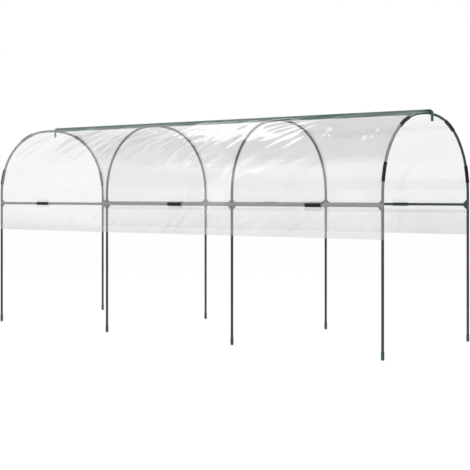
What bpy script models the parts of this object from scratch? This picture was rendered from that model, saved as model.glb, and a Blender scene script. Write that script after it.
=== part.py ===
"""Walk-in tunnel greenhouse: four steel hoops under one sheet of clear film.

Each hoop is two capped legs and two arch halves. Moulded connectors join leg,
arch and side rails at waist height, and join the arch halves and the purlins
at the crown. A ridge bar lies on the crowns, and its ends are bent down past
the end hoops. The film hangs over the bar to a hem on both sides, and snap
clips hold it to the end hoops and to the side rails.

Units are metres. X runs along the tunnel, Y across it and Z up, and the origin
is on the ground in the middle of the footprint. Near is -Y and far is +Y.
"""

import math

import bmesh
import bpy
from mathutils import Vector

# Overall sizes
HOOP_COUNT = 4
HOOP_SPACING = 1.30
HOOP_WIDTH = 1.268          # between the centre lines of a hoop's two legs
RAIL_HEIGHT = 1.050
BEND_RISE = 0.100           # from the rail to where the arch starts to bend
CROWN_RADIUS = 1.0
CROWN_TURN = math.radians(10)   # of the flatter bend, on each side of the crown
SKIRT_DROP = 0.230          # from the rail down to the film's hem

# Clearances
SEAT_GAP = 0.0003           # between rigid pieces that touch
FILM_GAP = 0.0004           # between the film and what it lies on

# Tubes
TUBE_RADIUS = 0.010
TUBE_WALL = 0.001
TUBE_SIDES = 12
SHOULDER_STEPS = 9
CROWN_STEPS = 2

# Moulded connectors
ARM_LENGTH = 0.040          # from the connector's centre to the end of its tube
SPIGOT_LENGTH = 0.030
SPIGOT_CLEARANCE = 0.0003
SPIGOT_CHAMFER = 0.003
ARM_CHAMFER = 0.0006
WEB_THICKNESS = 0.004
WEB_INSET = 0.001           # from the end of an arm to the web's corner

# Ridge bar
BAR_RADIUS = 0.010
BAR_WALL = 0.001
BAR_SHIFT = 0.028           # to the far side of the middle, clear of the purlins
HOOK_DROP = 0.078           # from the bar's centre line to the hook's end
HOOK_STEPS = 6

# Foot caps
CAP_HEIGHT = 0.055
CAP_WALL = 0.0016
CAP_FLOOR = 0.006
CAP_DOME_HEIGHT = 0.011
CAP_FLAT_RADIUS = 0.0035
CAP_RIM_HEIGHT = 0.004
CAP_RIM_EXTRA = 0.0006

# Snap clips
CLIP_LENGTH = 0.135
CLIP_WALL = 0.0018
CLIP_CLEARANCE = 0.0005     # between the clip and the film that it holds
CLIP_WRAP = math.radians(220)
CLIP_ARC_STEPS = 10
CLIP_LIP_ANGLE = math.radians(7)
CLIP_LIP_FLARE = 0.0012
HOOP_CLIP_LAP = math.radians(10)    # of a hoop clip's edge, back over the film
LOW_CLIP_DISTANCE = 0.233   # along the arch, up from the rail connector's centre
HIGH_CLIP_DISTANCE = 0.346  # along the arch, down from the crown connector's centre
RAIL_CLIPS = (              # side, bay, distance of the clip's middle along the bay
    ("near", 1, 0.534),
    ("near", 2, 0.736),
    ("near", 3, 0.733),
    ("far", 2, 0.736),
    ("far", 3, 0.710),
)

# Film
FILM_THICKNESS = 0.001
FILM_OVERRUN = 0.002        # past the centre line of an end hoop
FILM_STEPS = 7              # along each bay
FILM_SAG = 0.012            # inwards, in the middle of a bay
FOLD_DEPTH = 0.010
FOLDS_PER_BAY = 2
FOLD_SLANT = 1.1            # waves that a fold leans over between rail and ridge
SKIRT_WAVE = 0.008          # outwards, at the hem

# Colours, as linear RGB
TUBE_GREEN = (0.035, 0.058, 0.046)
BAR_GREEN = (0.012, 0.090, 0.050)
CONNECTOR_GREEN = (0.040, 0.062, 0.050)
CAP_GREEN = (0.012, 0.075, 0.040)
CLIP_BLACK = (0.012, 0.012, 0.013)
FILM_CLEAR = (0.80, 0.82, 0.82)

# Worked out from the sizes above
SIDES = {"near": -1, "far": 1}
HALF_WIDTH = HOOP_WIDTH / 2
HALF_LENGTH = HOOP_SPACING * (HOOP_COUNT - 1) / 2
HOOPS = [index * HOOP_SPACING - HALF_LENGTH for index in range(HOOP_COUNT)]
SPIGOT_RADIUS = TUBE_RADIUS - TUBE_WALL - SPIGOT_CLEARANCE
SHOULDER_ANGLE = math.pi / 2 - CROWN_TURN
SHOULDER_COS = math.cos(SHOULDER_ANGLE)
SHOULDER_RADIUS = (HALF_WIDTH - CROWN_RADIUS * SHOULDER_COS) / (1 - SHOULDER_COS)
SHOULDER_Y = HALF_WIDTH - SHOULDER_RADIUS
BEND_HEIGHT = RAIL_HEIGHT + BEND_RISE
CROWN_CENTRE = BEND_HEIGHT - (CROWN_RADIUS - SHOULDER_RADIUS) * math.sin(SHOULDER_ANGLE)
CROWN_DROOP = math.atan((ARM_LENGTH + SPIGOT_LENGTH + SPIGOT_CHAMFER) / CROWN_RADIUS)
CROWN_HEIGHT = CROWN_CENTRE + CROWN_RADIUS / math.cos(CROWN_DROOP)
BAR_SEAT = TUBE_RADIUS + SEAT_GAP + BAR_RADIUS     # from a crown arm's centre line
BAR_HEIGHT = (CROWN_HEIGHT
              + (BAR_SEAT - BAR_SHIFT * math.sin(CROWN_DROOP)) / math.cos(CROWN_DROOP))
LEG_FOOT = CAP_FLOOR + SEAT_GAP
FILM_OFFSET = TUBE_RADIUS + FILM_GAP
CLIP_BORE = FILM_OFFSET + FILM_THICKNESS + CLIP_CLEARANCE


def clear_scene():
    for item in list(bpy.data.objects):
        bpy.data.objects.remove(item, do_unlink=True)


def new_collection(name):
    group = bpy.data.collections.new(name)
    bpy.context.scene.collection.children.link(group)
    return group


def new_material(name, colour, roughness, metallic=0.0, alpha=1.0):
    material = bpy.data.materials.new(name)
    material.use_nodes = True
    shader = material.node_tree.nodes["Principled BSDF"]
    shader.inputs["Base Color"].default_value = (*colour, 1.0)
    shader.inputs["Roughness"].default_value = roughness
    shader.inputs["Metallic"].default_value = metallic
    shader.inputs["Alpha"].default_value = alpha
    return material


def place(name, data, material, location=(0, 0, 0), turn=0.0):
    """Put mesh or curve data in the scene as one named piece."""
    item = bpy.data.objects.new(name, data)
    if not data.materials:
        data.materials.append(material)
    item.location = location
    item.rotation_euler.z = turn
    bpy.data.collections["tunnel_greenhouse"].objects.link(item)
    return item


def poly_curve(name, points, radius, radii=None, capped=False):
    """A round bar or open tube skin along straight stretches between points."""
    curve = bpy.data.curves.new(name, "CURVE")
    curve.dimensions = "3D"
    curve.bevel_depth = radius
    curve.bevel_resolution = (TUBE_SIDES - 4) // 2
    curve.use_fill_caps = capped
    spline = curve.splines.new("POLY")
    spline.points.add(len(points) - 1)
    for index, point in enumerate(points):
        spline.points[index].co = (*point, 1.0)
        spline.points[index].radius = radii[index] / radius if radii else 1.0
    return curve


def hollow_tube(name, points, material, radius=TUBE_RADIUS, wall=TUBE_WALL):
    item = place(name, poly_curve(name, points, radius), material)
    shell = item.modifiers.new("wall", "SOLIDIFY")
    shell.thickness = wall
    shell.offset = -1
    shell.use_even_offset = True
    return item


def evaluated_mesh(item, weld=0.00001):
    """Turn a curve or a modified object into a plain closed mesh."""
    graph = bpy.context.evaluated_depsgraph_get()
    mesh = bpy.data.meshes.new_from_object(item.evaluated_get(graph))
    shape = bmesh.new()
    shape.from_mesh(mesh)
    bmesh.ops.remove_doubles(shape, verts=shape.verts, dist=weld)
    bmesh.ops.recalc_face_normals(shape, faces=shape.faces)
    shape.to_mesh(mesh)
    shape.free()
    mesh.shade_smooth()
    mesh.set_sharp_from_angle(angle=math.radians(35))
    return mesh


def arch_line():
    """Half of a hoop's centre line as (y, z), from rail connector to crown."""
    points = [(HALF_WIDTH, RAIL_HEIGHT), (HALF_WIDTH, BEND_HEIGHT)]
    for step in range(1, SHOULDER_STEPS + 1):
        angle = SHOULDER_ANGLE * step / SHOULDER_STEPS
        points.append((SHOULDER_Y + SHOULDER_RADIUS * math.cos(angle),
                       BEND_HEIGHT + SHOULDER_RADIUS * math.sin(angle)))
    crown_arc = math.pi / 2 - CROWN_DROOP - SHOULDER_ANGLE
    for step in range(1, CROWN_STEPS + 1):
        angle = SHOULDER_ANGLE + crown_arc * step / CROWN_STEPS
        points.append((CROWN_RADIUS * math.cos(angle),
                       CROWN_CENTRE + CROWN_RADIUS * math.sin(angle)))
    points.append((0.0, CROWN_HEIGHT))
    return [Vector(point) for point in points]


def line_length(line):
    return sum((after - before).length for before, after in zip(line, line[1:]))


def cut_line(line, start, end):
    """The stretch of a line between two distances along it, with its corners."""
    stretch = []
    walked = 0.0
    for before, after in zip(line, line[1:]):
        length = (after - before).length
        for distance in (start, end):
            if walked <= distance < walked + length:
                stretch.append(before.lerp(after, (distance - walked) / length))
        if start < walked + length < end:
            position = len(stretch) if walked + length < end else len(stretch) - 1
            stretch.insert(position, after)
        walked += length
    return stretch


def in_hoop(line, x, side):
    """Lift a (y, z) line into the plane of the hoop at x, on one side."""
    return [(x, side * point.x, point.y) for point in line]


def build_legs(tube, cap):
    cap_mesh = foot_cap_mesh()
    top = RAIL_HEIGHT - ARM_LENGTH - SEAT_GAP
    for number, x in enumerate(HOOPS, 1):
        for side, sign in SIDES.items():
            y = sign * HALF_WIDTH
            hollow_tube(f"leg_{number}_{side}", [(x, y, LEG_FOOT), (x, y, top)], tube)
            place(f"foot_cap_{number}_{side}", cap_mesh, cap, (x, y, 0))


def foot_cap_mesh():
    """A turned cup with a rim bead, a domed toe and a small flat to stand on."""
    bore = TUBE_RADIUS + SEAT_GAP
    outer = bore + CAP_WALL
    rim = outer + CAP_RIM_EXTRA
    profile = [(0, CAP_FLOOR), (bore, CAP_FLOOR), (bore, CAP_HEIGHT), (rim, CAP_HEIGHT),
               (rim, CAP_HEIGHT - CAP_RIM_HEIGHT),
               (outer, CAP_HEIGHT - CAP_RIM_HEIGHT - CAP_RIM_EXTRA),
               (outer, CAP_DOME_HEIGHT)]
    dome_reach = outer - CAP_FLAT_RADIUS
    for angle in (math.radians(30), math.radians(60)):
        profile.append((CAP_FLAT_RADIUS + dome_reach * math.cos(angle),
                        CAP_DOME_HEIGHT * (1 - math.sin(angle))))
    profile += [(CAP_FLAT_RADIUS, 0), (0, 0)]
    mesh = bpy.data.meshes.new("foot_cap_profile")
    edges = [(index, index + 1) for index in range(len(profile) - 1)]
    mesh.from_pydata([(radius, 0, height) for radius, height in profile], edges, [])
    item = bpy.data.objects.new("foot_cap_profile", mesh)
    bpy.context.scene.collection.objects.link(item)
    turn = item.modifiers.new("turn", "SCREW")
    turn.axis = "Z"
    turn.steps = TUBE_SIDES
    turn.render_steps = TUBE_SIDES
    turn.use_merge_vertices = True
    turn.merge_threshold = 0.00001
    result = evaluated_mesh(item)
    bpy.data.objects.remove(item)
    return result


def spigot_bar(name, arms):
    """A round bar through the given arm directions, with a spigot on each end.

    One arm starts at the connector's centre, and two arms make one through bar.
    """
    steps = [(ARM_LENGTH - ARM_CHAMFER, TUBE_RADIUS),
             (ARM_LENGTH, SPIGOT_RADIUS),
             (ARM_LENGTH + SPIGOT_LENGTH - SPIGOT_CHAMFER, SPIGOT_RADIUS),
             (ARM_LENGTH + SPIGOT_LENGTH, SPIGOT_RADIUS - SPIGOT_CHAMFER / 2)]
    outward = [(Vector(arms[0]) * distance, radius) for distance, radius in steps]
    stations = [(Vector((0, 0, 0)), TUBE_RADIUS)] + outward
    if len(arms) == 2:
        back = [(Vector(arms[1]) * distance, radius) for distance, radius in steps]
        stations = back[::-1] + stations
    points = [point for point, radius in stations]
    radii = [radius for point, radius in stations]
    item = bpy.data.objects.new(name, poly_curve(name, points, TUBE_RADIUS, radii, capped=True))
    bpy.context.scene.collection.objects.link(item)
    mesh = evaluated_mesh(item)
    bpy.data.objects.remove(item)
    return mesh


def web_plate(outline, normal):
    """A flat plate of web thickness in the connector's plane, square to normal."""
    curve = bpy.data.curves.new("web", "CURVE")
    curve.dimensions = "2D"
    curve.fill_mode = "BOTH"
    curve.extrude = WEB_THICKNESS / 2
    spline = curve.splines.new("POLY")
    spline.points.add(len(outline) - 1)
    for point, (along, across) in zip(spline.points, outline):
        point.co = (along, across, 0, 1)
    spline.use_cyclic_u = True
    item = bpy.data.objects.new("web", curve)
    if normal == "Y":
        item.rotation_euler.x = math.pi / 2
    bpy.context.scene.collection.objects.link(item)
    mesh = evaluated_mesh(item)
    mesh.transform(item.rotation_euler.to_matrix().to_4x4())
    bpy.data.objects.remove(item)
    return mesh


def connector_mesh(name, through, crossing, normal):
    """Bars joined with the webs that brace the corners between them.

    The webs fill the corners between the through bar and each crossing arm.
    """
    reach = ARM_LENGTH - WEB_INSET
    inner = TUBE_RADIUS - WEB_INSET
    right = [(0, -reach), (inner, -reach), (reach, -inner),
             (reach, inner), (inner, reach), (0, reach)]
    left = [(-along, -across) for along, across in right[1:-1]]
    outline = right if len(crossing) == 1 else right[1:-1] + left
    pieces = [spigot_bar("through", through), spigot_bar("crossing", crossing),
              web_plate(outline, normal)]
    items = []
    for mesh in pieces:
        item = bpy.data.objects.new(name, mesh)
        bpy.context.scene.collection.objects.link(item)
        items.append(item)
    for other in items[1:]:
        union = items[0].modifiers.new("union", "BOOLEAN")
        union.operation = "UNION"
        union.solver = "EXACT"
        union.object = other
    result = evaluated_mesh(items[0])
    for item in items:
        bpy.data.objects.remove(item)
    return result


def build_rail_connectors(plastic):
    """Tees on the end hoops and crosses between, at rail height on both sides."""
    upright = [(0, 0, 1), (0, 0, -1)]
    tee = connector_mesh("rail_tee", upright, [(1, 0, 0)], "Y")
    cross = connector_mesh("rail_cross", upright, [(1, 0, 0), (-1, 0, 0)], "Y")
    for number, x in enumerate(HOOPS, 1):
        for side, sign in SIDES.items():
            centre = (x, sign * HALF_WIDTH, RAIL_HEIGHT)
            put_connector("rail", number, f"_{side}", tee, cross, plastic, centre)


def build_crown_connectors(plastic):
    """The same fittings laid flat, with their arch arms drooping to the arch."""
    fall = math.sin(CROWN_DROOP)
    arch_arms = [(0, math.cos(CROWN_DROOP), -fall), (0, -math.cos(CROWN_DROOP), -fall)]
    tee = connector_mesh("crown_tee", arch_arms, [(1, 0, 0)], "Z")
    cross = connector_mesh("crown_cross", arch_arms, [(1, 0, 0), (-1, 0, 0)], "Z")
    for number, x in enumerate(HOOPS, 1):
        put_connector("crown", number, "", tee, cross, plastic, (x, 0, CROWN_HEIGHT))


def put_connector(kind, number, suffix, tee, cross, plastic, centre):
    if number == 1:
        place(f"{kind}_tee_{number}{suffix}", tee, plastic, centre)
    elif number == HOOP_COUNT:
        place(f"{kind}_tee_{number}{suffix}", tee, plastic, centre, turn=math.pi)
    else:
        place(f"{kind}_cross_{number}{suffix}", cross, plastic, centre)


def build_arches(tube):
    line = arch_line()
    tube_line = cut_line(line, ARM_LENGTH + SEAT_GAP, line_length(line) - ARM_LENGTH - SEAT_GAP)
    for number, x in enumerate(HOOPS, 1):
        for side, sign in SIDES.items():
            hollow_tube(f"arch_{number}_{side}", in_hoop(tube_line, x, sign), tube)


def build_rails(tube):
    """Side rails at waist height and purlins at the crown, one to each bay."""
    reach = ARM_LENGTH + SEAT_GAP
    for bay, (before, after) in enumerate(zip(HOOPS, HOOPS[1:]), 1):
        lines = {f"side_rail_{side}_{bay}": (sign * HALF_WIDTH, RAIL_HEIGHT)
                 for side, sign in SIDES.items()}
        lines[f"crown_purlin_{bay}"] = (0, CROWN_HEIGHT)
        for name, (y, z) in lines.items():
            hollow_tube(name, [(before + reach, y, z), (after - reach, y, z)], tube)


def build_ridge_bar(coated):
    """A bar on the crowns whose ends bend down round the end hoops."""
    end = [(HALF_LENGTH + BAR_SEAT * math.sin(math.pi / 2 * step / HOOK_STEPS),
            BAR_HEIGHT - BAR_SEAT * (1 - math.cos(math.pi / 2 * step / HOOK_STEPS)))
           for step in range(HOOK_STEPS + 1)]
    end.append((HALF_LENGTH + BAR_SEAT, BAR_HEIGHT - HOOK_DROP))
    points = [(-x, BAR_SHIFT, z) for x, z in reversed(end)]
    points += [(x, BAR_SHIFT, z) for x, z in end]
    hollow_tube("ridge_bar", points, coated, BAR_RADIUS, BAR_WALL)


def taut_line(bar_y):
    """Where the film bends over a hoop, as (y, z) from one hem to the ridge bar.

    The film is parallel to the arch until it lifts off towards the bar. Y points
    to the hem's side, and the bar is at bar_y.
    """
    arch = arch_line()
    bends = []
    for before, here, after in zip(arch, arch[1:], arch[2:]):
        along = (here - before).normalized()
        halfway = (along + (after - here).normalized()).normalized()
        outward = Vector((halfway.y, -halfway.x))
        bends.append(here + outward * FILM_OFFSET / halfway.dot(along))
    over_bar = BAR_RADIUS + FILM_GAP
    to_bar = Vector((bar_y, BAR_HEIGHT - CROWN_CENTRE))
    lift = math.acos((CROWN_RADIUS + FILM_OFFSET - over_bar) / to_bar.length)
    angle = math.atan2(to_bar.y, to_bar.x) - lift
    bends.append(Vector((bar_y + over_bar * math.cos(angle),
                         BAR_HEIGHT + over_bar * math.sin(angle))))
    bends.append(Vector((bar_y, BAR_HEIGHT + over_bar)))
    line = []
    for point in bends:
        while len(line) > 1 and (line[-1] - line[-2]).cross(point - line[-1]) <= 0:
            line.pop()
        line.append(point)
    side = HALF_WIDTH + FILM_OFFSET
    hem = Vector((side, RAIL_HEIGHT - SKIRT_DROP))
    return [hem, Vector((side, RAIL_HEIGHT))] + line


def film_columns():
    """Places along X where the film bends: the hoops and even steps between them."""
    count = FILM_STEPS * (HOOP_COUNT - 1)
    columns = [HOOP_SPACING * step / FILM_STEPS - HALF_LENGTH for step in range(count + 1)]
    columns[0] -= FILM_OVERRUN
    columns[-1] += FILM_OVERRUN
    return columns


def film_relief(column, share):
    """How far the film stands out from where it would be if it were taut.

    The share runs from 0 at the rail to 1 at the ridge bar, and is negative on
    the skirt below the rail. The relief dies away at the hoops, rail and bar,
    and it is deepest in the upper part of the arch.
    """
    along = column % FILM_STEPS / FILM_STEPS
    free = math.sin(math.pi * along)
    if share < 0:
        return SKIRT_WAVE * free * (0.5 - 0.5 * math.cos(2 * math.pi * FOLDS_PER_BAY * along))
    slack = free * math.sin(math.pi * share ** 2)
    wave = math.sin(2 * math.pi * (FOLDS_PER_BAY * along - FOLD_SLANT * share))
    return slack * (FOLD_DEPTH * wave - FILM_SAG)


def film_rows(sign, columns):
    """Rows of points from one hem to just before the top of the ridge bar."""
    half = taut_line(sign * BAR_SHIFT)
    rail_to_bar = line_length(half[1:-1])
    rows = []
    for index, here in enumerate(half[:-1]):
        before = half[max(index - 1, 0)]
        along = (half[index + 1] - before).normalized()
        outward = Vector((along.y, -along.x))
        share = line_length(half[1:index + 1]) / rail_to_bar if index else -1.0
        points = [here + outward * film_relief(column, share) for column in range(len(columns))]
        rows.append([(x, sign * point.x, point.y) for x, point in zip(columns, points)])
    return rows


def film_points():
    """Rows of points from the near hem over the ridge bar to the far hem."""
    columns = film_columns()
    top = BAR_HEIGHT + BAR_RADIUS + FILM_GAP
    ridge = [(x, BAR_SHIFT, top) for x in columns]
    return film_rows(-1, columns) + [ridge] + film_rows(1, columns)[::-1]


def build_film(film):
    """One sheet bent over the frame, cut away under the clips on the rails."""
    rows = film_points()
    shape = bmesh.new()
    bmesh.ops.create_grid(shape, x_segments=len(rows[0]) - 1, y_segments=len(rows) - 1, size=0.5)
    for vertex in shape.verts:
        column = round((vertex.co.x + 0.5) * (len(rows[0]) - 1))
        row = round((vertex.co.y + 0.5) * (len(rows) - 1))
        vertex.co = rows[row][column]
    mesh = bpy.data.meshes.new("film_cover")
    shape.to_mesh(mesh)
    shape.free()
    mesh.shade_smooth()
    item = place("film_cover", mesh, film)
    shell = item.modifiers.new("thickness", "SOLIDIFY")
    shell.thickness = FILM_THICKNESS
    shell.offset = 1
    shell.use_even_offset = True
    windows = item.modifiers.new("clip windows", "BOOLEAN")
    windows.operation = "DIFFERENCE"
    windows.solver = "EXACT"
    windows.object = clip_windows()


def clip_windows():
    """A box round each rail clip, where the real film is pinched round the rail."""
    clip_reach = CLIP_BORE + CLIP_WALL
    height = 2 * (math.sqrt(clip_reach ** 2 - FILM_OFFSET ** 2) + FILM_GAP)
    depth = 4 * FILM_THICKNESS
    shape = bmesh.new()
    for side, bay, distance in RAIL_CLIPS:
        box = bmesh.ops.create_cube(shape, size=1.0)["verts"]
        bmesh.ops.scale(shape, verts=box, vec=(CLIP_LENGTH + 2 * FILM_GAP, depth, height))
        middle = (HOOPS[bay - 1] + distance,
                  SIDES[side] * (HALF_WIDTH + FILM_OFFSET + FILM_THICKNESS / 2), RAIL_HEIGHT)
        bmesh.ops.translate(shape, verts=box, vec=middle)
    mesh = bpy.data.meshes.new("clip_windows")
    shape.to_mesh(mesh)
    shape.free()
    item = bpy.data.objects.new("clip_windows", mesh)
    item.hide_render = True
    item.display_type = "WIRE"
    bpy.data.collections["cutters"].objects.link(item)
    return item


def clip_profile(name):
    """The C section of a snap clip, its mouth facing the section's -Y."""
    outer = CLIP_BORE + CLIP_WALL
    half = CLIP_WRAP / 2
    angles = [half - CLIP_WRAP * step / CLIP_ARC_STEPS for step in range(CLIP_ARC_STEPS + 1)]
    lip = half + CLIP_LIP_ANGLE
    outline = [(CLIP_BORE + CLIP_LIP_FLARE, lip)]
    outline += [(CLIP_BORE, angle) for angle in angles]
    outline += [(CLIP_BORE + CLIP_LIP_FLARE, -lip), (outer + CLIP_LIP_FLARE, -lip)]
    outline += [(outer, -angle) for angle in angles]
    outline += [(outer + CLIP_LIP_FLARE, lip)]
    curve = bpy.data.curves.new(name, "CURVE")
    curve.dimensions = "2D"
    spline = curve.splines.new("POLY")
    spline.points.add(len(outline) - 1)
    for point, (radius, angle) in zip(spline.points, outline):
        point.co = (radius * math.sin(angle), radius * math.cos(angle), 0, 1)
    spline.use_cyclic_u = True
    item = bpy.data.objects.new(name, curve)
    item.hide_render = True
    item.display_type = "WIRE"
    bpy.data.collections["cutters"].objects.link(item)
    return item


def build_clip(name, points, tilt, section, plastic):
    """A C section swept along the tube that the clip grips."""
    curve = bpy.data.curves.new(name, "CURVE")
    curve.dimensions = "3D"
    curve.twist_mode = "Z_UP"
    curve.bevel_mode = "OBJECT"
    curve.bevel_object = section
    curve.use_fill_caps = True
    spline = curve.splines.new("POLY")
    spline.points.add(len(points) - 1)
    for point, co in zip(spline.points, points):
        point.co = (*co, 1.0)
        point.tilt = tilt
    return place(name, curve, plastic)


def build_clips(plastic):
    section = clip_profile("clip_section")
    line = arch_line()
    heights = {"low": LOW_CLIP_DISTANCE, "high": line_length(line) - HIGH_CLIP_DISTANCE}
    for number, x in ((1, HOOPS[0]), (HOOP_COUNT, HOOPS[-1])):
        for side, sign in SIDES.items():
            turn = -math.copysign(CLIP_WRAP / 2 - HOOP_CLIP_LAP, x) * sign
            for level, middle in heights.items():
                stretch = cut_line(line, middle - CLIP_LENGTH / 2, middle + CLIP_LENGTH / 2)
                build_clip(f"hoop_clip_{number}_{side}_{level}", in_hoop(stretch, x, sign),
                           turn, section, plastic)
    for side, bay, distance in RAIL_CLIPS:
        middle = HOOPS[bay - 1] + distance
        ends = [(middle + shift, SIDES[side] * HALF_WIDTH, RAIL_HEIGHT)
                for shift in (-CLIP_LENGTH / 2, CLIP_LENGTH / 2)]
        turn = -SIDES[side] * math.pi / 2
        build_clip(f"rail_clip_{side}_{bay}", ends, turn, section, plastic)


def main():
    clear_scene()
    new_collection("tunnel_greenhouse")
    new_collection("cutters")
    tube = new_material("painted_tube", TUBE_GREEN, 0.45, 0.0)
    coated = new_material("coated_bar", BAR_GREEN, 0.4)
    fitting = new_material("moulded_connector", CONNECTOR_GREEN, 0.5)
    cap = new_material("foot_cap", CAP_GREEN, 0.5)
    clip = new_material("snap_clip", CLIP_BLACK, 0.4)
    film = new_material("clear_film", FILM_CLEAR, 0.25, alpha=0.4)
    build_legs(tube, cap)
    build_rail_connectors(fitting)
    build_crown_connectors(fitting)
    build_arches(tube)
    build_rails(tube)
    build_ridge_bar(coated)
    build_clips(clip)
    build_film(film)


main()
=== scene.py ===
"""Tunnel greenhouse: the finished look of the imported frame, with its film, for Blender 4.5.

Metres, X along the tunnel, Y across it and Z up, as in the CAD.
"""

import math

import bpy
import numpy as np
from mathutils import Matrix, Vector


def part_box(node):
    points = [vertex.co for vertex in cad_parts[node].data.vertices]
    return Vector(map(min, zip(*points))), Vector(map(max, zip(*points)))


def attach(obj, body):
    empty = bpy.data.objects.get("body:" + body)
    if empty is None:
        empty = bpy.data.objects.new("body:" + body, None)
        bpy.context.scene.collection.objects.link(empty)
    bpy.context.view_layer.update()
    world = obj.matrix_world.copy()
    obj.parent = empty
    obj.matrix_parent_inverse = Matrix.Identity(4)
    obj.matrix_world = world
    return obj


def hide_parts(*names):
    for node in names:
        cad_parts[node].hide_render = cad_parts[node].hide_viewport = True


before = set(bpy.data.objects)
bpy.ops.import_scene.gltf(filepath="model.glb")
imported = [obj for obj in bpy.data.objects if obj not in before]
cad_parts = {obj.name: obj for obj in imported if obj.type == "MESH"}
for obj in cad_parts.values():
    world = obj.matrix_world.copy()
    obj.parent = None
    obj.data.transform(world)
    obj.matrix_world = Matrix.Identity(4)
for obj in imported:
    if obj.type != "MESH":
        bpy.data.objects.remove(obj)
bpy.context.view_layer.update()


# Studio. The photograph is a cut-out on white, taken level from beyond the right-hand
# end. Floor and world show white to the camera. Lamps and a ceiling that is seen only
# in mirrors light the frame softly and put a sheen on the film.

PHOTO_SIZE = 470
FOCAL_LENGTH_PIXELS = 1145.28
HORIZON_PIXEL = 194.21
SENSOR_WIDTH = 36.0
CAMERA_PLACE = (5.945, -7.372, 1.129)
CAMERA_TURN = 0.6634
WHITE = (1.0, 1.0, 1.0, 1.0)
CAMERA_RAYS = ("Is Camera Ray",)
SEEING_RAYS = ("Is Camera Ray", "Is Glossy Ray", "Is Transmission Ray")

scene = bpy.context.scene
scene.view_settings.view_transform = "Standard"

camera_data = bpy.data.cameras.new("camera")
camera_data.sensor_width = SENSOR_WIDTH
camera_data.lens = FOCAL_LENGTH_PIXELS * SENSOR_WIDTH / PHOTO_SIZE
camera_data.shift_y = (HORIZON_PIXEL - PHOTO_SIZE / 2) / PHOTO_SIZE
camera = bpy.data.objects.new("camera", camera_data)
camera.location = CAMERA_PLACE
camera.rotation_euler = (math.pi / 2, 0.0, CAMERA_TURN)
scene.collection.objects.link(camera)
scene.camera = camera


def empty_tree(owner):
    """Turn on the owner's shader nodes and return its tree, emptied."""
    owner.use_nodes = True
    owner.node_tree.nodes.clear()
    return owner.node_tree


def feed(tree, value, socket):
    """Wire another node's output to a socket, or set the socket to a plain value."""
    if isinstance(value, bpy.types.NodeSocket):
        tree.links.new(value, socket)
    else:
        socket.default_value = value


def add_node(tree, kind, **settings):
    """Add a node; settings named in_X feed the input called X, others are properties."""
    node = tree.nodes.new(kind)
    for name, value in settings.items():
        if name.startswith("in_"):
            wanted = name[3:].replace("_", " ")
            feed(tree, value, next(s for s in node.inputs if s.name == wanted and s.enabled))
        else:
            setattr(node, name, value)
    return node


def work_out(tree, operation, *values):
    """The result of a Math node on these values."""
    node = add_node(tree, "ShaderNodeMath", operation=operation)
    for value, socket in zip(values, node.inputs):
        feed(tree, value, socket)
    return node.outputs[0]


def fade(tree, value, start, end, before, after, kind="SMOOTHSTEP"):
    """Numbers that go from before to after while the value goes from start to end."""
    return add_node(tree, "ShaderNodeMapRange", interpolation_type=kind, in_Value=value,
                    in_From_Min=start, in_From_Max=end,
                    in_To_Min=before, in_To_Max=after).outputs[0]


def mixed(tree, share, usual, other):
    """A mix of two shaders, with this share of the other one."""
    node = add_node(tree, "ShaderNodeMixShader")
    for value, socket in zip((share, usual, other), node.inputs):
        feed(tree, value, socket)
    return node.outputs[0]


def seen_by(tree, rays, usual, special):
    """The special shader for rays of these kinds, and the usual one for all others."""
    path = add_node(tree, "ShaderNodeLightPath")
    seen = path.outputs[rays[0]]
    for kind in rays[1:]:
        seen = work_out(tree, "MAXIMUM", seen, path.outputs[kind])
    return mixed(tree, seen, usual, special)


DOME_LEVEL = 1.05

world = bpy.data.worlds.new("studio")
scene.world = world
tree = empty_tree(world)
dome = add_node(tree, "ShaderNodeBackground", in_Color=WHITE, in_Strength=DOME_LEVEL)
backdrop = add_node(tree, "ShaderNodeBackground", in_Color=WHITE, in_Strength=1.0)
add_node(tree, "ShaderNodeOutputWorld",
         in_Surface=seen_by(tree, SEEING_RAYS, dome.outputs[0], backdrop.outputs[0]))


def card(name, corners):
    """A flat card between four corners, as part of the studio, and its empty finish."""
    mesh = bpy.data.meshes.new(name)
    mesh.from_pydata(corners, [], [(0, 1, 2, 3)])
    sheet = bpy.data.objects.new(name, mesh)
    scene.collection.objects.link(sheet)
    finish = bpy.data.materials.new(name)
    mesh.materials.append(finish)
    return sheet, empty_tree(finish)


# The floor is grey in a ring round the greenhouse, for the light that it throws up and
# what the film mirrors: each pair is a distance and a grey. To the camera it mostly
# glows white, and the rest is paper, which keeps the shadow of the feet.

FLOOR_SIZE = 80
FLOOR_REACH = 24.0
FLOOR_GREYS = ((2.0, 0.90), (4.0, 0.54), (9.0, 0.54), (16.0, 0.95))
PAPER_GREY = (0.9, 0.9, 0.9, 1.0)
FLOOR_GLOW = 1.02
GLOW_SHARE = 0.6

_, tree = card("floor", [(-FLOOR_SIZE, -FLOOR_SIZE, 0), (FLOOR_SIZE, -FLOOR_SIZE, 0),
                         (FLOOR_SIZE, FLOOR_SIZE, 0), (-FLOOR_SIZE, FLOOR_SIZE, 0)])
spot = add_node(tree, "ShaderNodeTexCoord")
reach = add_node(tree, "ShaderNodeVectorMath", operation="LENGTH")
tree.links.new(spot.outputs["Object"], reach.inputs[0])
share = fade(tree, reach.outputs["Value"], 0.0, FLOOR_REACH, 0.0, 1.0, "LINEAR")
greys = add_node(tree, "ShaderNodeValToRGB", in_Fac=share)
greys.color_ramp.interpolation = "EASE"
for distance, grey in FLOOR_GREYS:
    stop = greys.color_ramp.elements.new(distance / FLOOR_REACH)
    stop.color = (grey, grey, grey, 1.0)
greys.color_ramp.elements.remove(greys.color_ramp.elements[0])
greys.color_ramp.elements.remove(greys.color_ramp.elements[-1])
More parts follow.
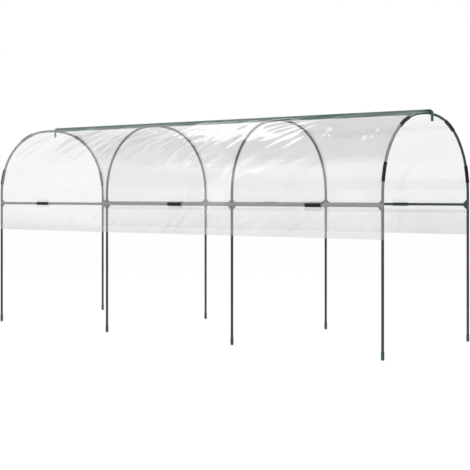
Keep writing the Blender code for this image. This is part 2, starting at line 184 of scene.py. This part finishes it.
matt = add_node(tree, "ShaderNodeBsdfDiffuse", in_Color=greys.outputs[0])
paper = add_node(tree, "ShaderNodeBsdfDiffuse", in_Color=PAPER_GREY)
glow = add_node(tree, "ShaderNodeEmission", in_Color=WHITE, in_Strength=FLOOR_GLOW)
shown = mixed(tree, GLOW_SHARE, paper.outputs[0], glow.outputs[0])
add_node(tree, "ShaderNodeOutputMaterial",
         in_Surface=seen_by(tree, CAMERA_RAYS, matt.outputs[0], shown))

# The ceiling is for mirrors only. It is bright over the left-hand end and over the
# front, and dim towards the middle, because the photographed film mirrors such a room.

CEILING_HEIGHT = 5
CEILING_LEFT, CEILING_RIGHT = -5.6, 0.4
CEILING_FRONT, CEILING_BACK = -5.6, 8
LEFT_END, LEFT_GLOW = -2.4, 0.90
FRONT_END, FRONT_GLOW = -2.7, 1.0
CEILING_GLOW = 0.10

ceiling, tree = card("ceiling", [(CEILING_LEFT, CEILING_FRONT, CEILING_HEIGHT),
                                 (CEILING_LEFT, CEILING_BACK, CEILING_HEIGHT),
                                 (CEILING_RIGHT, CEILING_BACK, CEILING_HEIGHT),
                                 (CEILING_RIGHT, CEILING_FRONT, CEILING_HEIGHT)])
ceiling.visible_camera = False
ceiling.visible_diffuse = False
ceiling.visible_shadow = False
spot = add_node(tree, "ShaderNodeTexCoord")
place = add_node(tree, "ShaderNodeSeparateXYZ", in_Vector=spot.outputs["Object"])
from_left = fade(tree, place.outputs["X"], CEILING_LEFT, LEFT_END, LEFT_GLOW, CEILING_GLOW)
from_front = fade(tree, place.outputs["Y"], CEILING_FRONT, FRONT_END, FRONT_GLOW,
                  CEILING_GLOW)
glow = add_node(tree, "ShaderNodeEmission", in_Color=WHITE,
                in_Strength=work_out(tree, "MAXIMUM", from_left, from_front))
add_node(tree, "ShaderNodeOutputMaterial", in_Surface=glow.outputs[0])


def soft_lamp(name, place, target, width, length, watts):
    """An oblong lamp facing a target, out of the camera's sight.

    It is tipped by the angle between straight down and the target, and then turned
    towards the target about the vertical.
    """
    data = bpy.data.lights.new(name, "AREA")
    data.shape = "RECTANGLE"
    data.size, data.size_y = width, length
    data.energy = watts
    lamp = bpy.data.objects.new(name, data)
    lamp.visible_camera = False
    lamp.location = place
    towards = np.array(target, float) - np.array(place, float)
    flat = math.hypot(towards[0], towards[1])
    lamp.rotation_euler = (math.atan2(flat, -towards[2]), 0.0,
                           math.atan2(towards[1], towards[0]) - math.pi / 2)
    scene.collection.objects.link(lamp)


soft_lamp("overhead", (-0.65, 0.45, 2.85), (-0.65, -0.11, 1.46), 1.2, 2.0, 11)
soft_lamp("strip", (-1.64, -3.3, 2.26), (0.42, -0.7, 3.7), 0.24, 2.7, 1.5)
soft_lamp("rim", (1.6, 4.0, 4.9), (1.6, 0.0, 1.7), 1.6, 0.4, 42)
soft_lamp("front", (3.0, -6.5, 3.4), (0.0, 0.0, 0.9), 3.0, 3.0, 60)


# Steel tubes: legs, arch halves, side rails and purlins. They are 20 mm welded tube,
# sprayed dark green, the purlins a greener shade, with a faint orange peel and the dust
# and small scuffs of tubes that rub in their box.

TUBE_GREEN = (0.028, 0.050, 0.037, 1.0)
TUBE_DUST = (0.042, 0.069, 0.053, 1.0)
PURLIN_GREEN = (0.014, 0.085, 0.050, 1.0)
PURLIN_DUST = (0.035, 0.110, 0.075, 1.0)
LOW_GLOSS = 0.2
DUST_SCALE, DUST_RANGE = 30.0, (0.40, 0.80)
SCUFF_SCALE, SPRAY_ROUGHNESS = 12.0, (0.30, 0.38)
PEEL_SCALE, PEEL_STRENGTH, PEEL_DEPTH = 700.0, 0.06, 0.0004


def new_finish(name):
    """A material with a Principled shader wired to its output."""
    material = bpy.data.materials.new(name)
    tree = empty_tree(material)
    surface = add_node(tree, "ShaderNodeBsdfPrincipled")
    add_node(tree, "ShaderNodeOutputMaterial", in_Surface=surface.outputs[0])
    return material, tree, surface


def noise(tree, scale, detail=2.0, stretch=(1.0, 1.0, 1.0)):
    """Noise on Object coordinates, stretched along the axes."""
    place = add_node(tree, "ShaderNodeTexCoord")
    fit = add_node(tree, "ShaderNodeMapping", in_Vector=place.outputs["Object"],
                   in_Scale=stretch)
    return add_node(tree, "ShaderNodeTexNoise", in_Vector=fit.outputs[0], in_Scale=scale,
                    in_Detail=detail, in_Roughness=0.5).outputs[0]


def ramp(tree, value, low, high, dark, light):
    """Colours from dark to light while the value goes from low to high."""
    node = add_node(tree, "ShaderNodeValToRGB", in_Fac=value)
    node.color_ramp.elements[0].position = low
    node.color_ramp.elements[0].color = dark
    node.color_ramp.elements[1].position = high
    node.color_ramp.elements[1].color = light
    return node.outputs[0]


def span(tree, value, low, high):
    """Numbers from low to high while a noise goes from 0.3 to 0.7, where most of it is."""
    return fade(tree, value, 0.3, 0.7, low, high, "LINEAR")


def bump(tree, surface, height, strength, distance):
    """Raise the surface by a height, in metres at full strength."""
    node = add_node(tree, "ShaderNodeBump", in_Strength=strength, in_Distance=distance,
                    in_Height=height)
    tree.links.new(node.outputs[0], surface.inputs["Normal"])


def paint(material, *beginnings):
    """Give a finish to every CAD node whose name starts in one of these ways."""
    for name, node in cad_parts.items():
        if name.startswith(beginnings):
            for slot in node.material_slots:
                slot.material = material


def sprayed(name, colour, dust):
    """Sprayed paint with an orange peel and dusty scuffs."""
    material, tree, surface = new_finish(name)
    dusty = ramp(tree, noise(tree, DUST_SCALE, 4.0), *DUST_RANGE, colour, dust)
    wear_and_painted_shade = span(tree, noise(tree, SCUFF_SCALE, 3.0), *SPRAY_ROUGHNESS)
    feed(tree, dusty, surface.inputs["Base Color"])
    feed(tree, wear_and_painted_shade, surface.inputs["Roughness"])
    surface.inputs["Specular IOR Level"].default_value = LOW_GLOSS
    bump(tree, surface, noise(tree, PEEL_SCALE), PEEL_STRENGTH, PEEL_DEPTH)
    return material


paint(sprayed("sprayed tube", TUBE_GREEN, TUBE_DUST), "leg_", "arch_", "side_rail_")
paint(sprayed("sprayed purlin", PURLIN_GREEN, PURLIN_DUST), "crown_purlin_")


# Ridge bar. It is steel tube in a green plastic coat, smoother and greener than the
# spray, with the faint long marks of the coating die.

COAT_GREEN = (0.003, 0.076, 0.045, 1.0)
COAT_PALE = (0.008, 0.104, 0.064, 1.0)
DIE_SCALE, DIE_STRETCH = 60.0, (0.02, 1.0, 1.0)
DIE_STRENGTH, DIE_DEPTH = 0.2, 0.0004
PALE_RANGE = (0.35, 0.75)
RUB_SCALE, COAT_ROUGHNESS = 30.0, (0.26, 0.40)

coating, tree, surface = new_finish("plastic coat")
lines = noise(tree, DIE_SCALE, 3.0, stretch=DIE_STRETCH)
streaks = ramp(tree, lines, *PALE_RANGE, COAT_GREEN, COAT_PALE)
rubs = span(tree, noise(tree, RUB_SCALE, 3.0), *COAT_ROUGHNESS)
feed(tree, streaks, surface.inputs["Base Color"])
feed(tree, rubs, surface.inputs["Roughness"])
bump(tree, surface, lines, DIE_STRENGTH, DIE_DEPTH)
paint(coating, "ridge_bar")


# Moulded connectors and foot caps. They are tough plastic out of one mould, coloured to
# go with the tube, with a fine eroded grain and flow marks.

MOULDED_GREEN = (0.024, 0.044, 0.034, 1.0)
MOULDED_PALE = (0.046, 0.070, 0.058, 1.0)
CAP_GREEN = (0.011, 0.044, 0.026, 1.0)
CAP_PALE = (0.026, 0.074, 0.048, 1.0)
FLOW_SCALE, MOULDED_ROUGHNESS = 40.0, (0.42, 0.58)
GRAIN_SCALE, GRAIN_STRENGTH, GRAIN_DEPTH = 1400.0, 0.35, 0.0003


def moulded(name, colour, pale):
    """Plastic with a fine eroded grain and soft flow marks."""
    material, tree, surface = new_finish(name)
    flow = noise(tree, FLOW_SCALE, 3.0)
    feed(tree, ramp(tree, flow, *PALE_RANGE, colour, pale), surface.inputs["Base Color"])
    feed(tree, span(tree, flow, *MOULDED_ROUGHNESS), surface.inputs["Roughness"])
    bump(tree, surface, noise(tree, GRAIN_SCALE), GRAIN_STRENGTH, GRAIN_DEPTH)
    return material


paint(moulded("moulded connector", MOULDED_GREEN, MOULDED_PALE),
      "rail_tee_", "rail_cross_", "crown_tee_", "crown_cross_")
paint(moulded("foot cap", CAP_GREEN, CAP_PALE), "foot_cap_")


# Snap clips. Each is a length of black extruded plastic C section, pushed over the film
# and the tube. The die leaves fine lines, and the edges are rubbed a little grey.

CLIP_BLACK = (0.007, 0.007, 0.008, 1.0)
CLIP_RUBBED = (0.030, 0.030, 0.031, 1.0)
GREY_SCALE, GREY_RANGE = 120.0, (0.5, 0.8)
SLICK_SCALE, CLIP_ROUGHNESS = 60.0, (0.22, 0.36)
LINE_SCALE, LINE_STRENGTH, LINE_DEPTH = 500.0, 0.2, 0.0003

clip_plastic, tree, surface = new_finish("extruded clip")
wear_and_rail_light = ramp(tree, noise(tree, GREY_SCALE, 4.0), *GREY_RANGE, CLIP_BLACK, CLIP_RUBBED)
slick = span(tree, noise(tree, SLICK_SCALE), *CLIP_ROUGHNESS)
feed(tree, wear_and_rail_light, surface.inputs["Base Color"])
feed(tree, slick, surface.inputs["Roughness"])
surface.inputs["Specular IOR Level"].default_value = LOW_GLOSS
bump(tree, surface, noise(tree, LINE_SCALE), LINE_STRENGTH, LINE_DEPTH)
paint(clip_plastic, "hoop_clip_", "rail_clip_")


# Film. One sheet of clear polythene lies over the ridge bar, the arches and the side
# rails and hangs to a hem on both sides. It is pinched round the rails under the rail
# clips, rolls over the end hoops, and keeps the slanting creases of its packing.

# RING is the radius at which the film passes round a tube.

TUBE_RADIUS = 0.010
FILM_LIFT = 0.0006
RING = TUBE_RADIUS + FILM_LIFT
HOOP_WIDTH = 1.268
CROWN_RADIUS = 1.0
SHOULDER_TURN = math.radians(80)
SHOULDER_RADIUS = ((HOOP_WIDTH / 2 - CROWN_RADIUS * math.cos(SHOULDER_TURN))
                   / (1 - math.cos(SHOULDER_TURN)))
BEND_RISE = 0.100


def middle(node):
    """The centre of a CAD node's box."""
    low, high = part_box(node)
    return (np.array(low) + np.array(high)) / 2


hoops = np.array([middle(f"leg_{number}_near")[0] for number in (1, 2, 3, 4)])
half_width = middle("leg_1_far")[1]
rail_height = middle("side_rail_near_1")[2]
hem_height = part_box("film_cover")[0][2]
bar_y = middle("ridge_bar")[1]
bar_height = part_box("ridge_bar")[1][2] - TUBE_RADIUS


def side_path(beyond, points=6000):
    """Half of the film's path round a hoop, from a hem to the top of the ridge bar.

    The path is worked out from how far it has turned after each length: not at all
    up to the bend, then evenly round the shoulder, the crown and the top of the
    ridge bar, with a straight stretch where it lifts off the arch towards the bar,
    which is this far beyond the middle. Summing the sines and cosines of that turn
    gives the path. Returns the length, y, z and turn.
    """
    bend = rail_height + BEND_RISE
    centre_y = half_width - SHOULDER_RADIUS
    crown_z = bend - (CROWN_RADIUS - SHOULDER_RADIUS) * math.sin(SHOULDER_TURN)
    for y, z, radius in ((0.0, crown_z, CROWN_RADIUS), (centre_y, bend, SHOULDER_RADIUS)):
        apart = math.hypot(-beyond - y, bar_height - z)
        leave = math.atan2(bar_height - z, -beyond - y) - math.acos(radius / apart)
        straight = math.sqrt(apart ** 2 - radius ** 2)
        if leave >= SHOULDER_TURN:
            break
    shoulder = min(leave, SHOULDER_TURN)
    stages = np.cumsum([0.0, bend - hem_height, (SHOULDER_RADIUS + RING) * shoulder,
                        (CROWN_RADIUS + RING) * (leave - shoulder), straight,
                        RING * (math.pi / 2 - leave)])
    turns = [0.0, 0.0, shoulder, leave, leave, math.pi / 2]
    length = np.linspace(0.0, stages[-1], points)
    turn = np.interp(length, stages, turns)
    between = (turn[1:] + turn[:-1]) / 2
    step = length[1]
    y = half_width + RING - np.concatenate([[0.0], np.cumsum(np.sin(between) * step)])
    z = hem_height + np.concatenate([[0.0], np.cumsum(np.cos(between) * step)])
    return length, y, z, turn


def smooth(value):
    """0 below 0, 1 above 1, and between them three times the square less twice the cube."""
    value = np.clip(value, 0.0, 1.0)
    return value * value * (3.0 - 2.0 * value)


PINCH_REACH = 0.046
PINCH_OUT = (-0.0038, -0.0062, -0.0082, -0.0090, -0.0080, -0.0040, 0.0015, 0.0070)
PINCH_UP = (0.0104, 0.0102, 0.0112, 0.0135, 0.0170, 0.0225, 0.0290, 0.0370)


def pinched(distance):
    """Where the film goes at a rail clip, as (outwards, up) from the rail's centre.

    The distance is along the plain film, up from the rail. The film goes halfway
    round the tube, out between the clip's lips, and back up to where it was. Each
    share of the plain length goes to the same share of the pinched one.
    """
    quarter = np.linspace(0.0, math.pi / 2, 9)
    out = np.concatenate([RING * np.cos(quarter), PINCH_OUT, [RING]])
    up = np.concatenate([RING * np.sin(quarter), PINCH_UP, [PINCH_REACH]])
    walked = np.concatenate([[0.0], np.cumsum(np.hypot(np.diff(out), np.diff(up)))])
    share = np.clip(np.abs(distance) / PINCH_REACH, 0.0, 1.0) * walked[-1]
    return np.interp(share, walked, out), np.sign(distance) * np.interp(share, walked, up)


CREASE_PLACES = (-1.95, -0.65, 0.10, 0.60, 1.10, 1.50, 1.95)
CREASE_SLANTS = (58, 46, 50, 42, 22, 16, 12)
CREASE_DEPTHS = (0.0024, 0.0050, 0.0058, 0.0052, 0.0042, 0.0014, 0.0008)
CREASE_HEIGHTS = (0.42, 1.02)
CREASE_REACHES = (0.07, 0.24)
CREASE_WIDTHS = (0.014, 0.032)
CREASE_SCATTER = 7


def creases(across, up, seed, count=150):
    """Height of the slanting creases that packing left, in metres, over the film's plane.

    Each crease is a line at a random place. Its slant and depth follow from where it
    is along the tunnel. Its height falls off with the distance from the line as one
    over one plus its square, and fades at both ends.
    """
    random = np.random.RandomState(seed)
    height = np.zeros_like(across)
    for _ in range(count):
        x = random.uniform(hoops[0], hoops[-1])
        at = random.uniform(*CREASE_HEIGHTS)
        slant = np.interp(x, CREASE_PLACES, CREASE_SLANTS)
        slant = math.radians(slant + random.normal(0, CREASE_SCATTER))
        reach = random.uniform(*CREASE_REACHES)
        width = random.uniform(*CREASE_WIDTHS)
        depth = np.interp(x, CREASE_PLACES, CREASE_DEPTHS) * random.uniform(-1.0, 1.0)
        along = (across - x) * math.cos(slant) + (up - at) * math.sin(slant)
        beside = (up - at) * math.cos(slant) - (across - x) * math.sin(slant)
        ends = np.clip(1.0 - (along / reach) ** 2, 0.0, 1.0) ** 2
        height += depth * ends / (1.0 + (beside / width) ** 2)
    return height


RIPPLE_SHARE = 0.8
RIPPLE_SLANT, STEEP_SLANT, RIPPLE_SCATTER = 31.0, 50.0, 9.0
RIPPLE_WAVES = (0.055, 0.160)
STEEP_MIDDLE, STEEP_SPREAD = 0.25, 0.38
STEEP_EDGE, STEEP_FADE = -0.55, 0.30
STEEP_MOST, STEEP_GAIN = 0.8, 1.9


def ripples(across, up, seed, slant, count=44):
    """Height of slanting ripples, in metres: a sum of waves that run nearly the same way.

    They are as deep along the tunnel as the creases are, and the long ones deepest.
    """
    random = np.random.RandomState(seed)
    height = np.zeros_like(across)
    for _ in range(count):
        way = math.radians(random.normal(slant, RIPPLE_SCATTER))
        wave = random.uniform(*RIPPLE_WAVES)
        beside = up * math.cos(way) - across * math.sin(way)
        height += wave * np.sin(2 * math.pi * beside / wave + random.uniform(0, 2 * math.pi))
    return RIPPLE_SHARE * height * np.interp(across, CREASE_PLACES, CREASE_DEPTHS)


def all_ripples(across, up, seed):
    """Flat ripples that give way to steep ones in the middle of bay 2 and in bay 1.

    The share of steep ones is a bell curve round the middle of bay 2, or a soft step
    up into bay 1, whichever is more.
    """
    steep = np.maximum(np.exp(-((across - STEEP_MIDDLE) / STEEP_SPREAD) ** 2),
                       STEEP_MOST * smooth((STEEP_EDGE - across) / STEEP_FADE))
    flat_ones = ripples(across, up, seed, RIPPLE_SLANT)
    steep_ones = ripples(across, up, seed + 1, STEEP_SLANT)
    return (1.0 - steep) * flat_ones + STEEP_GAIN * steep * steep_ones


COLUMN_GAP, CLIP_COLUMN_GAP = 0.0140, 0.0050
CLIP_EDGE, CLIP_EDGE_REACH = 0.014, 0.022
ROLL_TURN, ROLL_COLUMNS = math.radians(80), 5


def film_columns():
    """Places along X, closer together at the ends of the rail clips, and how far each
    has rolled over an end hoop, as an angle.

    The columns are counted by summing one over the gap wanted at each place.
    """
    fine = np.linspace(hoops[0], hoops[-1], 4000)
    crowd = np.full_like(fine, 1 / COLUMN_GAP)
    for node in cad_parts:
        if node.startswith("rail_clip_near"):
            low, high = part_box(node)
            for end in (low[0] - CLIP_EDGE, high[0] + CLIP_EDGE):
                crowd = np.where(np.abs(fine - end) < CLIP_EDGE_REACH,
                                 1 / CLIP_COLUMN_GAP, crowd)
    steps = (crowd[1:] + crowd[:-1]) / 2 * (fine[1] - fine[0])
    count = np.concatenate([[0.0], np.cumsum(steps)])
    flat = np.interp(np.linspace(0.0, count[-1], int(count[-1])), count, fine)
    roll = np.linspace(0.0, ROLL_TURN, ROLL_COLUMNS + 1)[1:]
    x = np.concatenate([np.full(len(roll), hoops[0]), flat, np.full(len(roll), hoops[-1])])
    return x, np.concatenate([-roll[::-1], np.zeros(len(flat)), roll])


RIDGE_STRIP = 0.025
SKIRT_ROWS, RAIL_ROWS, UPPER_ROWS, RIDGE_ROWS = 14, 46, 82, 6
SAG = 0.012
FOLD_DEPTH, FOLD_SLANT = 0.010, 1.1
SKIRT_WAVE = 0.008
HOOP_HOLD, HOOP_FADE = 0.011, 0.10
RAIL_HOLD, RAIL_FADE = 0.17, 0.28
RIDGE_HOLD, RIDGE_FADE = 0.045, 0.14
HANG_FROM, HANG_FADE, HANG_SHARE = 0.03, 0.10, 0.45
NEAR_CREASES, FAR_CREASES = (5, 1.0), (8, 0.4)
GRIP_MARGIN, GRIP_FADE = 0.002, 0.028
TUCK_FROM, TUCK_FADE = 0.205, 0.05
LOOSE_ROLL = 0.4


def film_side(way):
    """One side of the film as rows from its hem to the ridge: points, marks and freedom.

    Every point starts on the taut path. Slack, folds and creases move it along the
    path's normal, the rail clips pinch it, and its end columns roll over the end
    hoops. Slack and folds are products of sines along a bay and up the film. A mark
    is the place along X and the length from the ridge, and freedom is 1 where
    nothing holds the film.
    """
    length, path_y, path_z, path_turn = side_path(-way * bar_y)
    total = length[-1]
    rail = rail_height - hem_height
    walked = np.concatenate([
        np.linspace(0.0, rail - PINCH_REACH, SKIRT_ROWS, endpoint=False),
        np.linspace(rail - PINCH_REACH, rail + PINCH_REACH, RAIL_ROWS, endpoint=False),
        np.linspace(rail + PINCH_REACH, total - RIDGE_STRIP, UPPER_ROWS, endpoint=False),
        np.linspace(total - RIDGE_STRIP, total, RIDGE_ROWS),
    ])
    columns, rolled = film_columns()
    up, x = np.meshgrid(walked, columns, indexing="ij")
    over = np.broadcast_to(rolled, up.shape)
    y = np.interp(up, length, path_y)
    z = np.interp(up, length, path_z)
    turn = np.interp(up, length, path_turn)

    along = ((x - hoops[0]) / (hoops[1] - hoops[0])) % 1.0
    share = np.clip((up - rail) / (total - rail), 0.0, 1.0)
    slack = np.sin(math.pi * along) * np.sin(math.pi * share ** 2)
    wave = np.sin(2 * math.pi * (2 * along - FOLD_SLANT * share))
    hang = np.sin(math.pi * along) * (0.5 - 0.5 * np.cos(4 * math.pi * along))
    height = slack * (FOLD_DEPTH * wave - SAG)
    height += SKIRT_WAVE * hang * np.clip((rail - up) / rail, 0.0, 1.0)

    from_hoop = np.min(np.abs(x[None] - hoops[:, None, None]), axis=0)
    off_hoop = smooth((from_hoop - HOOP_HOLD) / HOOP_FADE)
    free = off_hoop * smooth((up - rail - RAIL_HOLD) / RAIL_FADE)
    free = free * smooth((total - RIDGE_HOLD - up) / RIDGE_FADE)
    hung = off_hoop * smooth((rail - HANG_FROM - up) / HANG_FADE)
    seed, depth = NEAR_CREASES if way < 0 else FAR_CREASES
    waves = all_ripples(x, up, seed)
    height += depth * (free * creases(x, up, seed) + (free + HANG_SHARE * hung) * waves)
    y = y + height * np.cos(turn)
    z = z + height * np.sin(turn)

    side = "near" if way < 0 else "far"
    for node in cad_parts:
        if node.startswith(f"rail_clip_{side}"):
            low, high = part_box(node)
            reach = (high[0] - low[0]) / 2 + GRIP_MARGIN
            from_clip = np.abs(x - (high[0] + low[0]) / 2)
            grip = smooth((reach + GRIP_FADE - from_clip) / GRIP_FADE)
            grip = grip * (np.abs(up - rail) < PINCH_REACH)
            out, rise = pinched(up - rail)
            y = y + grip * (half_width + out - y)
            z = z + grip * (rail_height + rise - z)

    on_hoop = smooth((total - TUCK_FROM - up) / TUCK_FADE)
    tuck = RING * (np.cos(over) - 1.0) * on_hoop
    y = y + tuck * np.cos(turn)
    z = z + tuck * np.sin(turn)
    x = x + RING * (on_hoop * np.sin(over) + (1.0 - on_hoop) * over * LOOSE_ROLL)
    points = np.stack([x, way * y, z], axis=-1)
    return points, np.stack([x, way * (total - up)], axis=-1), free


def grid_mesh(name, points, marks):
    """A mesh over a grid of points, with a UV map in metres from the marks.

    Each face joins a point, the next one in its row, and the two above them.
    """
    rows, columns = points.shape[:2]
    corner = np.arange((rows - 1) * columns).reshape(rows - 1, columns)[:, :-1].ravel()
    faces = np.stack([corner, corner + 1, corner + columns + 1, corner + columns], axis=1)
    mesh = bpy.data.meshes.new(name)
    mesh.vertices.add(rows * columns)
    mesh.vertices.foreach_set("co", points.reshape(-1).astype(np.float32))
    mesh.loops.add(faces.size)
    mesh.loops.foreach_set("vertex_index", faces.ravel().astype(np.int32))
    mesh.polygons.add(len(faces))
    mesh.polygons.foreach_set("loop_start", np.arange(0, faces.size, 4, dtype=np.int32))
    mesh.update(calc_edges=True)
    uv = mesh.uv_layers.new(name="cloth")
    uv.data.foreach_set("uv", marks.reshape(-1, 2)[faces.ravel()].ravel().astype(np.float32))
    mesh.shade_smooth()
    return mesh


near_side, far_side = film_side(-1.0), film_side(1.0)
points, marks, free = (np.concatenate([near, far[-2::-1]])
                       for near, far in zip(near_side, far_side))
HEM_LENGTH = float(np.abs(marks[..., 1]).max())
film_mesh = grid_mesh("film", points, marks)
loose = film_mesh.attributes.new("loose", "FLOAT", "POINT")
loose.data.foreach_set("value", free.ravel().astype(np.float32))
film = bpy.data.objects.new("film", film_mesh)
scene.collection.objects.link(film)

# The film's finish is read from its own map: X along the tunnel, and Y the length from
# the ridge, below 0 on the near side. Fine wrinkles run along the creases, and four
# round dents, by place and size, are pressed in between hoops 3 and 4.

WRINKLE_SLANT = math.radians(-31)
WRINKLE_STRETCH = (4.0, 17.0, 1.0)
WRINKLE_DEPTH = 0.004
WRINKLE_DETAIL, WRINKLE_MIX = 3.0, 0.55
DENTS = ((1.75, -0.586, 0.060), (1.82, -0.513, 0.046), (1.40, -0.479, 0.058),
         (1.38, -0.543, 0.044))
DENT_DEPTH = 0.18

clear_film = bpy.data.materials.new("clear film")
tree = empty_tree(clear_film)
cloth = add_node(tree, "ShaderNodeUVMap", uv_map="cloth").outputs[0]
lay = add_node(tree, "ShaderNodeMapping", in_Vector=cloth,
               in_Rotation=(0.0, 0.0, WRINKLE_SLANT), in_Scale=WRINKLE_STRETCH).outputs[0]
fine = add_node(tree, "ShaderNodeTexNoise", in_Vector=lay, in_Scale=1.0,
                in_Detail=WRINKLE_DETAIL, in_Roughness=WRINKLE_MIX).outputs[0]
held = add_node(tree, "ShaderNodeAttribute", attribute_name="loose").outputs["Fac"]
height = work_out(tree, "MULTIPLY", work_out(tree, "MULTIPLY", fine, WRINKLE_DEPTH), held)
for x, from_ridge, size in DENTS:
    apart = add_node(tree, "ShaderNodeVectorMath", operation="DISTANCE")
    apart.inputs[1].default_value = (x, from_ridge, 0.0)
    tree.links.new(cloth, apart.inputs[0])
    dent = fade(tree, apart.outputs["Value"], 0.0, size, -DENT_DEPTH * size, 0.0)
    height = work_out(tree, "ADD", height, dent)
wrinkled = add_node(tree, "ShaderNodeBump", in_Strength=1.0, in_Distance=1.0,
                    in_Height=height)

# The film is milky in blotches. Towards the hem it is hazier and its milk greyer, painted
# shade that darkens it towards the bottom.
# It is hazier where the near hem's edge is turned. At the doorway end of the far side it
# grows hazier towards the hem, painted shade there too.
# Over the side rails it is milkier, painted light that makes the rails seen through it
# lighter. It is clearer where it is stretched over the ridge.

BLOTCH_SCALE, BLOTCH_HAZE = 0.32, (0.16, 0.245)
# The hem haze and the hem whites are painted shade: the film grows hazier and its milk greyer
# towards the hem.
HEM_BAND, HEM_SHADE_HAZE, HEM_SHADED_WHITES = 0.24, 0.08, (0.61, 0.50)
TURNED_EDGE, TURNED_HAZE = (0.02, 0.10), 0.15
# The doorway haze is painted shade: at the doorway end the far side grows hazier, and so
# darker, towards the hem.
DOOR_ALONG, DOOR_DOWN = (1.05, 1.35), (0.1, 0.4)
DOOR_LOW, DOOR_SHADE_HAZE = (0.30, 0.20), (0.08, 0.24)
# The rail haze is painted light: a milkier band over each side rail makes the rail behind it
# read lighter.
RAIL_SHIFT, RAIL_LIGHT_BAND, RAIL_LIGHT_HAZE = 0.003, (0.008, 0.018), 0.28
RIDGE_BAND, RIDGE_CLEAR = (0.12, 0.30), 0.6

place = add_node(tree, "ShaderNodeSeparateXYZ", in_Vector=cloth)
along, across = place.outputs["X"], place.outputs["Y"]
side = work_out(tree, "ABSOLUTE", across)
blotch = add_node(tree, "ShaderNodeTexNoise", in_Vector=lay, in_Scale=BLOTCH_SCALE,
                  in_Detail=2.0, in_Roughness=0.5).outputs[0]
dull = span(tree, blotch, *BLOTCH_HAZE)
# Painted shade: haze rising towards the hem.
hem_shade = fade(tree, side, HEM_LENGTH - HEM_BAND, HEM_LENGTH, 0.0, HEM_SHADE_HAZE, "LINEAR")
turned = fade(tree, across, -HEM_LENGTH + TURNED_EDGE[0], -HEM_LENGTH + TURNED_EDGE[1],
              TURNED_HAZE, 0.0)
# Painted shade at the doorway end of the far side, hazier towards the hem.
towards_doorway = fade(tree, along, *DOOR_ALONG, 0.0, 1.0)
beyond = fade(tree, across, *DOOR_DOWN, 0.0, 1.0)
shade_to_far_hem = fade(tree, across, HEM_LENGTH - DOOR_LOW[0], HEM_LENGTH - DOOR_LOW[1], *DOOR_SHADE_HAZE)
doorway = work_out(tree, "MULTIPLY", towards_doorway, beyond)
# Painted shade towards the hem and at the doorway end, with the haze of the turned edge,
# added up here.
wear_and_painted_shade = work_out(tree, "MULTIPLY_ADD", doorway, shade_to_far_hem, work_out(tree, "ADD", hem_shade, turned))
# Painted light: a milkier band of film over the side rails.
rail_length = HEM_LENGTH - (rail_height - hem_height) - RAIL_SHIFT
off_rail = work_out(tree, "ABSOLUTE", work_out(tree, "SUBTRACT", side, rail_length))
wear_and_rail_light = fade(tree, off_rail, *RAIL_LIGHT_BAND, RAIL_LIGHT_HAZE, 0.0)
milky = work_out(tree, "ADD", dull, work_out(tree, "ADD", wear_and_painted_shade, wear_and_rail_light))
pressed = fade(tree, side, *RIDGE_BAND, RIDGE_CLEAR, 1.0, "LINEAR")
thin = work_out(tree, "MULTIPLY", milky, pressed)

# Painted shade: the milk greys towards the hem.
whites_shaded_to_hem = fade(tree, side, HEM_LENGTH - HEM_BAND, HEM_LENGTH, *HEM_SHADED_WHITES, "LINEAR")
front = add_node(tree, "ShaderNodeBsdfDiffuse", in_Color=whites_shaded_to_hem)
back = add_node(tree, "ShaderNodeBsdfTranslucent", in_Color=whites_shaded_to_hem)
milk = mixed(tree, 0.5, front.outputs[0], back.outputs[0])
through = add_node(tree, "ShaderNodeBsdfTransparent", in_Color=WHITE)
body = mixed(tree, thin, through.outputs[0], milk)

# It mirrors more at a glance, up to a share that is lower near the ridge and where the
# film hangs upright.

MIRROR_WHITE = (0.98, 0.98, 0.98, 1.0)
MIRROR_ROUGHNESS, MIRROR_INDEX = 0.07, 2.5
MIRROR_SHARES = (0.06, 0.21)
UPRIGHT_BAND, UPRIGHT_SHARE = (0.70, 0.96), 0.5

shine = add_node(tree, "ShaderNodeBsdfGlossy", in_Color=MIRROR_WHITE,
                 in_Roughness=MIRROR_ROUGHNESS, in_Normal=wrinkled.outputs[0])
glance = add_node(tree, "ShaderNodeFresnel", in_IOR=MIRROR_INDEX).outputs[0]
most = fade(tree, side, *RIDGE_BAND, *MIRROR_SHARES, "LINEAR")
upright = fade(tree, side, *UPRIGHT_BAND, 1.0, UPRIGHT_SHARE)
mirror = work_out(tree, "MINIMUM", glance, work_out(tree, "MULTIPLY", most, upright))
add_node(tree, "ShaderNodeOutputMaterial",
         in_Surface=mixed(tree, mirror, body, shine.outputs[0]))
film_mesh.materials.append(clear_film)

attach(film, "root")
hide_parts("film_cover")
